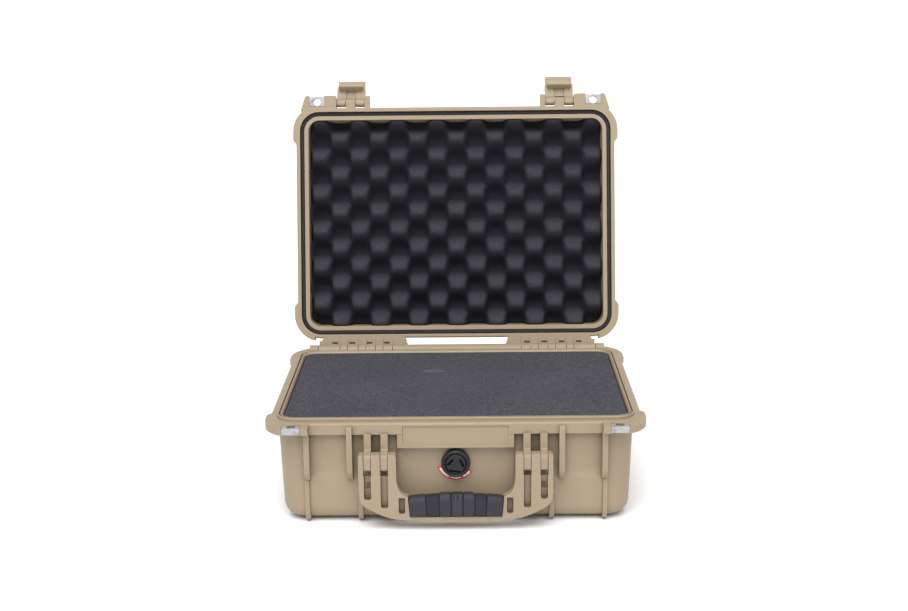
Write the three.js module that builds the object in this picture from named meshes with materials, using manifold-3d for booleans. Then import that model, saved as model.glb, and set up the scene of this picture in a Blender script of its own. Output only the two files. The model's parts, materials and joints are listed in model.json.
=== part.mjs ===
import * as THREE from 'three';
import { mergeVertices } from 'three/addons/utils/BufferGeometryUtils.js';
import Module from 'manifold-3d';

// A moulded equipment case with a foam lining, standing open. Millimetres, +Z up, with the handle and the
// latches on the -Y side. Every piece is described about the centre of the base's opening, with the lid and
// the latches closed, and groups turn them to where they rest. The whole is then moved to put the origin
// on the floor at the middle of the open case's length and width.

const wasm = await Module();
wasm.setup();

// ---------------------------------------------------------------------------------------------
// Driving dimensions
// ---------------------------------------------------------------------------------------------

const GAP = 0.3; // between pieces that touch
const BOTH = [-1, 1]; // left and right, or front and back
const FRONT = -1;
const OPEN_MIDDLE_Y = 59; // middle of the open case, behind the middle of its base

// The rim, where the two halves meet. Every level of the case is a rounded rectangle grown from it.
const OPENING = { halfX: 185.5, halfY: 130, radius: 15 };
const FLANGE = { halfX: 199.3, halfY: 144.5, radius: 29 };
const RIM_Z = 114;
const FLANGE_THICK = 12.5;
const FLANGE_EDGE = 1.5;
const TONGUE = { width: 6.3, height: 3.2, edge: 0.8 };
const RIM_GROOVE = { inner: 2.6, width: 2, depth: 3 }; // along the top of the tongue

// The base
const SKIN_Z = 3; // underside of the tub, which stands on runners
const BODY_END = { halfX: 186.5, halfY: 137, radius: 24 };
const BODY_RIM = { halfX: 190.8, halfY: 140, radius: 27 };
const BODY_EDGE = 15;
const FLOOR_Z = 7;
const CAVITY_DRAFT = 2.5;
const CAVITY_EDGE = 10;

// The lid, described closed
const LID_Z = RIM_Z + GAP;
const LID_OPENING = { halfX: 184.5, halfY: 129.5, radius: 14 };
const LID_LIP_Z = 117.5; // the inner lip stands back to clear the tongue
const LID_FLANGE_TOP = 125.5;
const LID_SKIN_Z = 165;
const LID_CEILING_Z = 158;
const LID_PAD_Z = 171;
const GASKET = { inner: 5, outer: 10.1, top: 121, thick: 3.1 };

// The hinge along the back
const HINGE = { y: 160.6, z: 109.1, radius: 8 };
const HINGE_SPLITS = [80.3, 92.2, 101.7, 113.7, 123.2, 136.7, 146, 173];
const HINGE_END_X = 184;
const HINGE_PIN_RADIUS = 2.2;
const HINGE_SLOTS = [87.8, 109.6, 131.4, 152.8];
const LID_OPEN = 102.55; // degrees from closed

// Corner pads, padlock tabs and their steel guards
const TAB_FRONT = 160;
const TAB_THICK = 7.6;
const BASE_TAB_Z = 105.9;
const PADLOCK = { x: 173, y: -152, radius: 4.6, guardHalf: 9.5, sheet: 1.2 };

// The handle, described hanging
const HANDLE_PIVOT = { y: -156, z: 75 };
const HANDLE_FRONT = -163;
const HANDLE_BACK = -152.5;
const HANDLE_HALF = 102.5;
const HANDLE_TOP = 85;
const PRONG_SPLITS = [75.5, 93.3]; // middles of the two lugs on each side
const LUG_HALF = 3.8;
const HANDLE_PIN_RADIUS = 2.1;

// The latches, described closed
const LATCH_X = 131;
const LATCH_HALF = 17.6;
const LINK_PIVOT = { y: -150.5, z: 121 };
const LEVER_PIVOT = { y: -158, z: 98 };
const LEVER_TURN = 0; // degrees from flat on its link
const LATCHES = [
  { side: -1, turn: 122 },
  { side: 1, turn: 116 },
];

// The pressure valve in the front wall
const VALVE_Z = 68;
const SCOOP_Y = -134;

const CORNER_STEPS = 8;
const EDGE_STEPS = 4;

// ---------------------------------------------------------------------------------------------
// Materials
// ---------------------------------------------------------------------------------------------

function material(color, roughness, metalness = 0) {
  return new THREE.MeshStandardMaterial({ color, roughness, metalness });
}

const desertTan = material(0xb8a78b, 0.6);
const blackRubber = material(0x2b292c, 0.75);
const gripRubber = material(0x46454b, 0.7);
const greyFoam = material(0x58575d, 0.95);
const charcoalFoam = material(0x2a292f, 0.98);
const blackPlastic = material(0x2c2c2e, 0.45);
const brightSteel = material(0xc9c8c8, 0.3, 1);
const signalRed = material(0xc01f2c, 0.45);

// ---------------------------------------------------------------------------------------------
// Solids
// ---------------------------------------------------------------------------------------------

function solid(geometry) {
  const bare = geometry.index ? geometry.toNonIndexed() : geometry.clone();
  bare.deleteAttribute('normal');
  bare.deleteAttribute('uv');
  const merged = mergeVertices(bare, 1e-4);
  const vertProperties = merged.attributes.position.array;
  const triVerts = new Uint32Array(merged.index.array);
  return new wasm.Manifold(new wasm.Mesh({ numProp: 3, vertProperties, triVerts }));
}

function join(...solids) {
  return solids.flat().reduce((whole, piece) => whole.add(piece));
}

function cut(whole, ...tools) {
  return tools.flat().reduce((rest, tool) => rest.subtract(tool), whole);
}

function mesh(name, body, finish) {
  const made = body.getMesh();
  const geometry = new THREE.BufferGeometry();
  geometry.setAttribute('position', new THREE.BufferAttribute(made.vertProperties, 3));
  geometry.setIndex(new THREE.BufferAttribute(made.triVerts, 1));
  geometry.computeVertexNormals();
  const node = new THREE.Mesh(geometry, finish);
  node.name = name;
  return node;
}

function block(xs, ys, zs) {
  const size = [xs, ys, zs].map(([a, b]) => Math.abs(b - a));
  const middle = [xs, ys, zs].map(([a, b]) => (a + b) / 2);
  return solid(new THREE.BoxGeometry(...size).translate(...middle));
}

// A plan or side view whose corners, given as [u, v, radius], are rounded.
function roundedShape(corners) {
  const shape = new THREE.Shape();
  corners.forEach(([u, v, radius = 0], i) => {
    const here = new THREE.Vector2(u, v);
    const last = new THREE.Vector2(...corners.at(i - 1));
    const next = new THREE.Vector2(...corners[(i + 1) % corners.length]);
    const start = here.clone().add(last.sub(here).setLength(radius));
    const end = here.clone().add(next.sub(here).setLength(radius));
    if (i === 0) {
      shape.moveTo(start.x, start.y);
    } else {
      shape.lineTo(start.x, start.y);
    }
    if (radius > 0) {
      shape.quadraticCurveTo(u, v, end.x, end.y);
    }
  });
  shape.closePath();
  return shape;
}

function extruded(shape, length, curveSegments) {
  return new THREE.ExtrudeGeometry(shape, { depth: length, bevelEnabled: false, curveSegments });
}

// Prisms of a shape: drawn in (x, y) and raised along Z, drawn in (y, z) and run along X,
// or drawn in (x, z) and run along Y.
function prismZ(shape, from, to, steps = 4) {
  return solid(extruded(shape, to - from, steps).translate(0, 0, from));
}

function prismX(shape, from, to, steps = 4) {
  const low = Math.min(from, to);
  const turn = new THREE.Matrix4().makeBasis(
    new THREE.Vector3(0, 1, 0),
    new THREE.Vector3(0, 0, 1),
    new THREE.Vector3(1, 0, 0),
  );
  return solid(extruded(shape, Math.abs(to - from), steps).applyMatrix4(turn).translate(low, 0, 0));
}

function prismY(shape, from, to, steps = 4) {
  return solid(extruded(shape, to - from, steps).rotateX(Math.PI / 2).translate(0, to, 0));
}

// A round bar along X through a point of the (y, z) plane.
function barX({ y, z }, radius, from, to, sides = 16) {
  const bar = new THREE.CylinderGeometry(radius, radius, Math.abs(to - from), sides);
  return solid(bar.rotateZ(Math.PI / 2).translate((from + to) / 2, y, z));
}

function barZ(x, y, radius, from, to, sides = 20) {
  const bar = new THREE.CylinderGeometry(radius, radius, to - from, sides);
  return solid(bar.rotateX(Math.PI / 2).translate(x, y, (from + to) / 2));
}

// A turned piece on the valve's axis, from a closed profile of [radius, y].
function turned(profile, sides = 32) {
  const points = profile.map(([radius, y]) => new THREE.Vector2(radius, y));
  return solid(new THREE.LatheGeometry(points, sides).translate(0, 0, VALVE_Z));
}

function grown(rectangle, by) {
  return {
    halfX: rectangle.halfX + by,
    halfY: rectangle.halfY + by,
    radius: rectangle.radius + by,
  };
}

function between(start, end, share) {
  const at = (key) => THREE.MathUtils.lerp(start[key], end[key], share);
  return { halfX: at('halfX'), halfY: at('halfY'), radius: at('radius') };
}

function outline({ halfX, halfY, radius }) {
  const points = [];
  for (let corner = 0; corner < 4; corner++) {
    const signX = corner === 0 || corner === 3 ? 1 : -1;
    const signY = corner < 2 ? 1 : -1;
    for (let step = 0; step <= CORNER_STEPS; step++) {
      const angle = ((corner + step / CORNER_STEPS) * Math.PI) / 2;
      const x = signX * (halfX - radius) + radius * Math.cos(angle);
      const y = signY * (halfY - radius) + radius * Math.sin(angle);
      points.push([x, y]);
    }
  }
  return points;
}

// A solid through rounded rectangles at rising heights, closed by a fan at each end.
function loft(levels) {
  const position = [];
  const index = [];
  const rings = levels.map(outline);
  const count = rings[0].length;
  rings.forEach((ring, i) => ring.forEach(([x, y]) => position.push(x, y, levels[i].z)));
  const lowCentre = count * levels.length;
  const highCentre = lowCentre + 1;
  const lastRing = count * (levels.length - 1);
  position.push(0, 0, levels[0].z, 0, 0, levels.at(-1).z);
  for (let k = 0; k < count; k++) {
    const next = (k + 1) % count;
    for (let low = 0; low < lastRing; low += count) {
      index.push(low + k, low + next, low + count + next);
      index.push(low + k, low + count + next, low + count + k);
    }
    index.push(lowCentre, next, k);
    index.push(highCentre, lastRing + k, lastRing + next);
  }
  const geometry = new THREE.BufferGeometry();
  geometry.setAttribute('position', new THREE.Float32BufferAttribute(position, 3));
  geometry.setIndex(index);
  return solid(geometry);
}

function plate(rectangle, from, to) {
  return loft([
    { z: from, ...rectangle },
    { z: to, ...rectangle },
  ]);
}

// A drafted tub: its closed end has a rounded edge, and its walls lean out towards the rim.
function tub(endZ, rimZ, end, rim, edge) {
  const rise = Math.sign(rimZ - endZ);
  const levels = [];
  for (let step = 0; step <= EDGE_STEPS; step++) {
    const angle = ((step / EDGE_STEPS) * Math.PI) / 2;
    const z = endZ + rise * edge * (1 - Math.cos(angle));
    const wall = between(end, rim, (z - endZ) / (rimZ - endZ));
    levels.push({ z, ...grown(wall, -edge * (1 - Math.sin(angle))) });
  }
  levels.push({ z: rimZ, ...rim });
  return loft(rise > 0 ? levels : levels.reverse());
}

// ---------------------------------------------------------------------------------------------
// Corner pads and padlock tabs
// ---------------------------------------------------------------------------------------------

// A base corner pad in plan: an arc about a point inside the corner, cut off by the tab's face.
function basePadPlan(sideX, sideY, startX) {
  const centre = { x: 163, y: 125, radius: 40.4 };
  const lastAngle = Math.asin((TAB_FRONT - centre.y) / centre.radius);
  const points = [
    [startX, 136],
    [startX, TAB_FRONT],
  ];
  for (let step = 0; step <= CORNER_STEPS; step++) {
    const angle = lastAngle * (1 - step / CORNER_STEPS);
    const x = centre.x + centre.radius * Math.cos(angle);
    const y = centre.y + centre.radius * Math.sin(angle);
    points.push([x, y]);
  }
  points.push([203.4, 110], [198.5, 104], [188, 104], [188, 128]);
  return new THREE.Shape(points.map(([x, y]) => new THREE.Vector2(sideX * x, sideY * y)));
}

// A lid corner pad in plan, about the corner of the opening.
function lidPadPlan(sideX, sideY) {
  const centre = { x: 170.3, y: 115, radius: 33 };
  const points = [[178, 140]];
  for (let step = 0; step <= CORNER_STEPS; step++) {
    const angle = THREE.MathUtils.degToRad(76 * (1 - step / CORNER_STEPS));
    const x = centre.x + centre.radius * Math.cos(angle);
    const y = centre.y + centre.radius * Math.sin(angle);
    points.push([x, y]);
  }
  points.push([203.3, 104], [198.5, 98], [188, 98], [188, 128]);
  return new THREE.Shape(points.map(([x, y]) => new THREE.Vector2(sideX * x, sideY * y)));
}

// What a padlock tab loses for its steel guard and its hole; low is the tab's underside.
function guardCuts(side, low) {
  const xs = [side * (PADLOCK.x - PADLOCK.guardHalf - GAP), side * (PADLOCK.x + PADLOCK.guardHalf + GAP)];
  const depth = PADLOCK.sheet + 2 * GAP;
  const back = -146.5;
  return [
    block(xs, [-TAB_FRONT - 2, back], [low - 2, low + depth]),
    block(xs, [-TAB_FRONT - 2, back], [low + TAB_THICK - depth, low + TAB_THICK + 2]),
    block(xs, [-TAB_FRONT - 2, -TAB_FRONT + depth], [low - 2, low + TAB_THICK + 2]),
    barZ(side * PADLOCK.x, PADLOCK.y, PADLOCK.radius, low - 2, low + TAB_THICK + 2),
  ];
}

// The folded steel guard that wraps a padlock tab.
function padlockGuard(side, tabLow) {
  const front = -TAB_FRONT + GAP;
  const back = -147;
  const low = tabLow + GAP;
  const high = tabLow + TAB_THICK - GAP;
  const { sheet } = PADLOCK;
  const fold = roundedShape([
    [back, low],
    [front, low, 1],
    [front, high, 1],
    [back, high],
    [back, high - sheet],
    [front + sheet, high - sheet],
    [front + sheet, low + sheet],
    [back, low + sheet],
  ]);
  const xs = [side * (PADLOCK.x - PADLOCK.guardHalf), side * (PADLOCK.x + PADLOCK.guardHalf)];
  const hole = barZ(side * PADLOCK.x, PADLOCK.y, PADLOCK.radius, low - 2, high + 2);
  return cut(prismX(fold, ...xs, 2), hole);
}

// ---------------------------------------------------------------------------------------------
// Hinge
// ---------------------------------------------------------------------------------------------

// A knuckle's side view: a round barrel on a root that reaches forward to its own half of the case.
function baseKnuckle() {
  const shape = new THREE.Shape();
  shape.moveTo(141, 103);
  shape.lineTo(HINGE.y, HINGE.z - HINGE.radius);
  shape.absarc(HINGE.y, HINGE.z, HINGE.radius, -Math.PI / 2, THREE.MathUtils.degToRad(150), false);
  shape.lineTo(141, 112.8);
  return shape;
}

function lidKnuckle() {
  const shape = new THREE.Shape();
  shape.moveTo(148, LID_Z);
  shape.lineTo(154.4, LID_Z);
  shape.absarc(
    HINGE.y,
    HINGE.z,
    HINGE.radius,
    THREE.MathUtils.degToRad(141),
    THREE.MathUtils.degToRad(420),
    false,
  );
  shape.lineTo(157, 122.5);
  shape.lineTo(148, 122.5);
  return shape;
}

function hingeSpan(first) {
  return [HINGE_SPLITS[first] + GAP, HINGE_SPLITS[first + 1] - GAP];
}

function baseHinge() {
  const shape = baseKnuckle();
  const middle = HINGE_SPLITS[0] - GAP;
  const pieces = [prismX(shape, -middle, middle, 10)];
  for (const side of BOTH) {
    for (const first of [1, 3, 5]) {
      const [from, to] = hingeSpan(first);
      pieces.push(prismX(shape, side * from, side * to, 10));
    }
    pieces.push(prismX(shape, side * (HINGE_SPLITS.at(-1) + GAP), side * HINGE_END_X, 10));
  }
  return pieces;
}

function lidHinge() {
  const shape = lidKnuckle();
  const pieces = [];
  for (const side of BOTH) {
    for (const first of [0, 2, 4, 6]) {
      const [from, to] = hingeSpan(first);
      pieces.push(prismX(shape, side * from, side * to, 10));
    }
    const leaf = roundedShape([
      [side * 61.5, 153.5, 1],
      [side * 65, 143],
      [side * 167, 143],
      [side * 173, 153.5, 1],
    ]);
    pieces.push(prismZ(leaf, LID_Z, 122.5, 2));
    // Raised faces on the leaf, over the base's knuckles.
    for (const [from, to] of [[64.5, 79.6], hingeSpan(1), hingeSpan(3), hingeSpan(5)]) {
      pieces.push(block([side * from, side * to], [145.5, 153.2], [LID_Z - 0.8, LID_Z + 1]));
    }
  }
  return pieces;
}

function hingeSlots() {
  return BOTH.flatMap((side) =>
    HINGE_SLOTS.map((x) =>
      block([side * (x - 3.5), side * (x + 3.5)], [149.3, 151.6], [LID_Z - 2, LID_Z + 4]),
    ),
  );
}

function hingeBore(side) {
  return barX(HINGE, HINGE_PIN_RADIUS + GAP, side * 59, side * (HINGE_END_X + 1));
}

function hingePin(side) {
  return barX(HINGE, HINGE_PIN_RADIUS, side * 60, side * (HINGE_END_X - 1));
}

// ---------------------------------------------------------------------------------------------
// Base shell
// ---------------------------------------------------------------------------------------------

// Bays between the ribs, drawn in side view with a sloping foot; face is -1 in front, 1 behind.
function bay(face, from, to, depth, foot) {
  const shape = roundedShape([
    [face * 160, foot - 6],
    [face * 141, foot - 6],
    [face * (depth + 0.8), foot + 4],
    [face * depth, foot + 12],
    [face * depth, RIM_Z - FLANGE_THICK],
    [face * 160, RIM_Z - FLANGE_THICK],
  ]);
  return prismX(shape, from, to, 2);
}

function frontBays() {
  const bays = [];
  for (const side of BOTH) {
    bays.push(bay(FRONT, side * 116, side * 155.5, 136, 50));
    bays.push(bay(FRONT, side * 62.5, side * 109.5, 136, 52));
  }
  const scoop = roundedShape([
    [-62, 86],
    [-62, 30, 12],
    [62, 30, 12],
    [62, 86],
  ]);
  bays.push(prismY(scoop, -160, SCOOP_Y, 5));
  return bays;
}

function rearBays() {
  const edges = [
    [7, 52],
    [62, 112],
    [122, 168],
  ];
  return BOTH.flatMap((side) => edges.map(([from, to]) => bay(1, side * from, side * to, 136, 50)));
}

function sidePanels() {
  const shape = roundedShape([
    [-21, 42, 8],
    [21, 42, 8],
    [21, 95, 4],
    [-21, 95, 4],
  ]);
  const panels = [];
  for (const side of BOTH) {
    for (const shift of [-52, 0, 52]) {
      const panel = extruded(shape, 10, 3);
      const turn = new THREE.Matrix4().makeBasis(
        new THREE.Vector3(0, 1, 0),
        new THREE.Vector3(0, 0, 1),
        new THREE.Vector3(1, 0, 0),
      );
      const start = side > 0 ? 187.6 : -197.6;
      panels.push(solid(panel.applyMatrix4(turn).translate(start, shift, 0)));
    }
  }
  return panels;
}

// Tall ribs beside the latches, from the flange down to the foot of the bays.
function frontRibs() {
  const shape = roundedShape([
    [-134, 112],
    [-150, 110.5, 2],
    [-150, 60, 3],
    [-144, 51, 3],
    [-134, 48],
  ]);
  const spans = [
    [109.6, 115.6],
    [155.2, 161.2],
  ];
  return BOTH.flatMap((side) => spans.map(([from, to]) => prismX(shape, side * from, side * to, 3)));
}

function rearRibs() {
  const shape = roundedShape([
    [134, 104],
    [147, 104],
    [147, 60, 3],
    [143, 51, 3],
    [134, 48],
  ]);
  const spans = [
    [54, 60],
    [114, 120],
  ];
  return BOTH.flatMap((side) => spans.map(([from, to]) => prismX(shape, side * from, side * to, 3)));
}

// Runners under the base that turn up its front and back walls.
function runners() {
  const spans = [
    [100, 105, 29],
    [157, 162, 50],
  ];
  return BOTH.flatMap((side) =>
    spans.map(([from, to, top]) => {
      const reach = 140.4;
      const shape = roundedShape([
        [-reach, top, 1.5],
        [-reach, 0, 17],
        [reach, 0, 17],
        [reach, top, 1.5],
      ]);
      return prismX(shape, side * from, side * to, 5);
    }),
  );
}

// Posts that carry the handle, and the blank name panel between them.
function handleLugs() {
  const shape = roundedShape([
    [-133, 103],
    [-148, 103],
    [-148, 86, 1.5],
    [-161.5, 83, 3],
    [-161.5, 66.5, 3],
    [-150, 64, 2],
    [-133, 58],
  ]);
  return BOTH.flatMap((side) =>
    PRONG_SPLITS.map((x) => prismX(shape, side * (x - LUG_HALF), side * (x + LUG_HALF), 3)),
  );
}

function namePanel() {
  const panel = block([-62, 62], [-143.8, -133], [86, 103]);
  const recess = block([-56.3, 56.3], [-146, -143.2], [89, 110.5]);
  return { panel, recess };
}

function flangeSolid() {
  return loft([
    { z: RIM_Z - FLANGE_THICK, ...FLANGE },
    { z: RIM_Z - FLANGE_EDGE, ...FLANGE },
    { z: RIM_Z, ...grown(FLANGE, -FLANGE_EDGE) },
  ]);
}

function tongueSolid() {
  const top = RIM_Z + TONGUE.height;
  return loft([
    { z: RIM_Z - 4, ...grown(OPENING, TONGUE.width) },
    { z: top - TONGUE.edge, ...grown(OPENING, TONGUE.width) },
    { z: top, ...grown(OPENING, TONGUE.width - TONGUE.edge) },
  ]);
}

function rimGroove() {
  const top = RIM_Z + TONGUE.height;
  const low = top - RIM_GROOVE.depth;
  return cut(
    plate(grown(OPENING, RIM_GROOVE.inner + RIM_GROOVE.width), low, top + 1),
    plate(grown(OPENING, RIM_GROOVE.inner), low - 1, top + 2),
  );
}

function cavity() {
  const mouth = RIM_Z + TONGUE.height + 1;
  const well = tub(FLOOR_Z, mouth, grown(OPENING, -CAVITY_DRAFT), OPENING, CAVITY_EDGE);
  const throat = loft([
    { z: mouth - 3, ...OPENING },
    { z: mouth, ...grown(OPENING, 2.2) },
  ]);
  return [well, throat];
}

function baseShell() {
  const { panel, recess } = namePanel();
  const tabPads = BOTH.map((side) => prismZ(basePadPlan(side, FRONT, 155.2), BASE_TAB_Z, RIM_Z - 0.5));
  const rearPads = BOTH.map((side) => prismZ(basePadPlan(side, 1, 174), BASE_TAB_Z, RIM_Z - 0.5));
  const tubOuter = tub(SKIN_Z, RIM_Z, BODY_END, BODY_RIM, BODY_EDGE);
  const body = cut(tubOuter, frontBays(), rearBays(), sidePanels());
  const whole = join(
    body,
    flangeSolid(),
    tongueSolid(),
    tabPads,
    rearPads,
    runners(),
    frontRibs(),
    rearRibs(),
    handleLugs(),
    baseHinge(),
    panel,
  );
  const cuts = [recess, rimGroove(), cavity(), BOTH.map(hingeBore)];
  for (const side of BOTH) {
    cuts.push(guardCuts(side, BASE_TAB_Z));
    cuts.push(barX(HANDLE_PIVOT, HANDLE_PIN_RADIUS + GAP, side * 70, side * 100));
  }
  cuts.push(turned([[0, -140], [9.5, -140], [9.5, -120], [0, -120]], 24));
  return cut(whole, cuts.flat());
}

// ---------------------------------------------------------------------------------------------
// Lid shell and gasket
// ---------------------------------------------------------------------------------------------

function lidPads() {
  const wide = roundedShape([
    [-143.5, 120],
    [143.5, 120],
    [143.5, LID_PAD_Z, 17],
    [-143.5, LID_PAD_Z, 17],
  ]);
  const narrow = roundedShape([
    [-142, 120],
    [142, 120],
    [142, LID_PAD_Z - 3, 17],
    [-142, LID_PAD_Z - 3, 17],
  ]);
  return BOTH.flatMap((side) => [
    prismX(wide, side * 109, side * 153, 5),
    prismX(narrow, side * 50, side * 58, 5),
  ]);
}

// Ears either side of each latch, and the post between its legs.
function latchMounts(side) {
  const ear = roundedShape([
    [-141, LID_Z],
    [-159.5, LID_Z, 1.5],
    [-159.5, 122, 5],
    [-150, 127, 5],
    [-141, 127],
  ]);
  const post = roundedShape([
    [-141, LID_Z],
    [-155.4, LID_Z, 1.5],
    [-155.4, 125.5, 4],
    [-141, 126.5],
  ]);
  const inner = LATCH_X - LATCH_HALF - GAP;
  const outer = LATCH_X + LATCH_HALF + GAP;
  return [
    prismX(ear, side * (inner - 6.4), side * inner, 4),
    prismX(ear, side * outer, side * (outer + 4), 4),
    prismX(post, side * (LATCH_X - 5.6), side * (LATCH_X + 5.6), 3),
  ];
}

function lidTab(side) {
  const plan = roundedShape([
    [side * 149.2, -141],
    [side * 149.2, -TAB_FRONT, 3],
    [side * 187.5, -TAB_FRONT, 3],
    [side * 193.5, -141],
  ]);
  return prismZ(plan, LID_Z, LID_Z + TAB_THICK, 3);
}

function lidShell() {
  const end = { halfX: 187, halfY: 137, radius: 24 };
  const skin = tub(LID_SKIN_Z, RIM_Z + 6, end, BODY_RIM, 14);
  const flange = loft([
    { z: LID_Z, ...grown(FLANGE, -FLANGE_EDGE) },
    { z: LID_Z + FLANGE_EDGE, ...FLANGE },
    { z: LID_FLANGE_TOP, ...FLANGE },
  ]);
  const pads = [];
  for (const side of BOTH) {
    for (const face of BOTH) {
      pads.push(prismZ(lidPadPlan(side, face), LID_Z, LID_FLANGE_TOP + 5));
    }
  }
  const tabs = BOTH.map(lidTab);
  const whole = join(skin, flange, pads, tabs, lidPads(), BOTH.map(latchMounts).flat(), lidHinge());
  const ceiling = grown(LID_OPENING, -CAVITY_DRAFT);
  const well = tub(LID_CEILING_Z, LID_LIP_Z - 1, ceiling, LID_OPENING, CAVITY_EDGE);
  const seat = plate(grown(LID_OPENING, GASKET.outer), LID_Z - 1, LID_LIP_Z);
  const groove = cut(
    plate(grown(LID_OPENING, GASKET.outer), LID_LIP_Z - 1, GASKET.top),
    plate(grown(LID_OPENING, GASKET.inner), LID_LIP_Z - 2, GASKET.top + 1),
  );
  const cuts = [well, seat, groove, hingeSlots(), BOTH.map(hingeBore)];
  for (const side of BOTH) {
    cuts.push(guardCuts(side, LID_Z));
    cuts.push(barX(LINK_PIVOT, 1.8 + GAP, side * 100, side * 153));
  }
  return cut(whole, cuts.flat());
}

function lidGasket() {
  const top = GASKET.top - GAP;
  const low = top - GASKET.thick;
  const outer = GASKET.outer - GAP;
  const inner = GASKET.inner + GAP;
  const round = 1;
  return cut(
    loft([
      { z: low, ...grown(LID_OPENING, outer - round) },
      { z: low + round, ...grown(LID_OPENING, outer) },
      { z: top, ...grown(LID_OPENING, outer) },
    ]),
    loft([
      { z: low - 1, ...grown(LID_OPENING, inner + 2 * round) },
      { z: low + round, ...grown(LID_OPENING, inner) },
      { z: top + 1, ...grown(LID_OPENING, inner) },
    ]),
  );
}

// ---------------------------------------------------------------------------------------------
// Foam
// ---------------------------------------------------------------------------------------------

function foamLayers() {
  const slack = -0.6;
  const low = FLOOR_Z + GAP;
  const high = RIM_Z + TONGUE.height - 0.2;
  const end = grown(OPENING, slack - CAVITY_DRAFT);
  const rim = grown(OPENING, slack);
  const whole = tub(low, high, end, rim, CAVITY_EDGE + 0.6);
  const nutPocket = turned([[0, -131], [17, -131], [17, -117], [0, -117]], 20);
  const heights = [low, 17, 67, high];
  const names = ['foam_layer_bottom', 'foam_layer_middle', 'foam_layer_top'];
  return names.map((name, i) => {
    const below = block([-200, 200], [-150, 150], [-1, heights[i] + (i > 0 ? GAP : 0)]);
    const above = block([-200, 200], [-150, 150], [heights[i + 1], 130]);
    return mesh(name, cut(whole, below, above, nutPocket), greyFoam);
  });
}

function lidFoam() {
  const end = grown(LID_OPENING, -0.6 - CAVITY_DRAFT);
  const rim = grown(LID_OPENING, -0.7);
  return tub(LID_CEILING_Z - 0.4, LID_LIP_Z + 1.3, end, rim, CAVITY_EDGE + 0.8);
}

// ---------------------------------------------------------------------------------------------
// Handle
// ---------------------------------------------------------------------------------------------

function handleOutline() {
  const half = [
    [HANDLE_HALF, HANDLE_TOP, 2.5],
    [HANDLE_HALF, 30, 10],
    [78, 17, 7],
    [64.5, 13, 6],
    [30, 9.9, 20],
  ];
  const inner = [
    [48.9, 15.6],
    [51, 38.4, 1],
    [56, 39.6, 4],
    [62.8, 50, 8],
    [62.8, HANDLE_TOP, 2.5],
  ];
  const mirrored = (points) => points.map(([x, z, radius]) => [-x, z, radius]).reverse();
  return roundedShape([...half, ...mirrored(half), ...mirrored(inner), ...inner]);
}

function handleSlots(side) {
  const front = HANDLE_FRONT - 1;
  const floor = -156.5;
  const slot = (middle, low, high, width, back) =>
    prismY(
      roundedShape([
        [side * (middle - width), high],
        [side * (middle - width), low, 3],
        [side * (middle + width), low, 3],
        [side * (middle + width), high],
      ]),
      front,
      back,
      3,
    );
  return [
    ...PRONG_SPLITS.map((x) => slot(x, 59.5, HANDLE_TOP + 2, LUG_HALF + 0.4, HANDLE_BACK + 1)),
    slot(PRONG_SPLITS[1], 35, 60, 3.7, floor),
    slot(PRONG_SPLITS[1], 45.5, 53, 3.7, HANDLE_BACK + 1),
    slot(PRONG_SPLITS[0], 25.5, 60, 3.9, floor),
    slot(57.2, 19, 37, 3.4, floor),
    barX(HANDLE_PIVOT, HANDLE_PIN_RADIUS + GAP, side * 60, side * 105),
  ];
}

function handleFrame() {
  const frame = prismY(handleOutline(), HANDLE_FRONT, HANDLE_BACK, 5);
  const core = block([-47, 47], [-160, -155.5], [14, 33]);
  return cut(join(frame, core), BOTH.map(handleSlots).flat());
}

function handleGrip() {
  const face = roundedShape([
    [48.6, 15.9],
    [50.7, 37.6],
    [30, 40.8, 12],
    [-30, 40.8, 12],
    [-50.7, 37.6],
    [-48.6, 15.9],
  ]);
  const section = roundedShape([
    [-166, 15.9, 3],
    [-166, 41.8, 8],
    [-150, 41.8, 8],
    [-150, 15.9, 3],
  ]);
  const pillow = prismY(face, -167, -149, 6).intersect(prismX(section, -52, 52, 5));
  return cut(pillow, block([-47.3, 47.3], [-160.3, -155.2], [14, 33.3]));
}

function handlePin(side) {
  return barX(HANDLE_PIVOT, HANDLE_PIN_RADIUS, side * 63.3, side * (HANDLE_HALF - 0.5));
}

// ---------------------------------------------------------------------------------------------
// Latches
// ---------------------------------------------------------------------------------------------

// The link hangs from the lid on two legs and hooks under the base's flange.
function latchLink(side) {
  const leg = roundedShape([
    [-146.2, 116.6, 3],
    [-146.2, 125.2, 4],
    [-154.8, 125.2, 4],
    [-154.8, 94.5, 1],
    [-150.8, 94.5, 1],
    [-150.8, 113.5, 1],
  ]);
  const hook = roundedShape([
    [-153, 94.7],
    [-153, 101.2],
    [-141.4, 101.2, 1.8],
    [-141.4, 94.7, 2.4],
  ]);
  const cheek = roundedShape([
    [-153.5, 94.4],
    [-153.5, 101.6],
    [-159.5, 101.6, 2],
    [-161.6, 98, 1.5],
    [-159.5, 94.4, 2],
  ]);
  const left = LATCH_X - LATCH_HALF;
  const right = LATCH_X + LATCH_HALF;
  const bar = block([side * left, side * right], [-154.8, -150.8], [94.5, 101.2]);
  const web = block([side * (LATCH_X - 7), side * (LATCH_X + 7)], [-154.6, -152.2], [101, 112]);
  const link = join(
    prismX(leg, side * left, side * (LATCH_X - 6.2), 3),
    prismX(leg, side * (LATCH_X + 6.2), side * right, 3),
    prismX(hook, side * (LATCH_X - 14.8), side * (LATCH_X + 14.8), 3),
    prismX(cheek, side * left, side * (left + 4), 3),
    prismX(cheek, side * (right - 4), side * right, 3),
    bar,
    web,
  );
  return cut(
    link,
    barX(LINK_PIVOT, 1.8 + GAP, side * (left - 2), side * (right + 2)),
    barX(LEVER_PIVOT, 1.3 + GAP, side * (left - 1), side * (right + 1), 12),
  );
}

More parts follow.
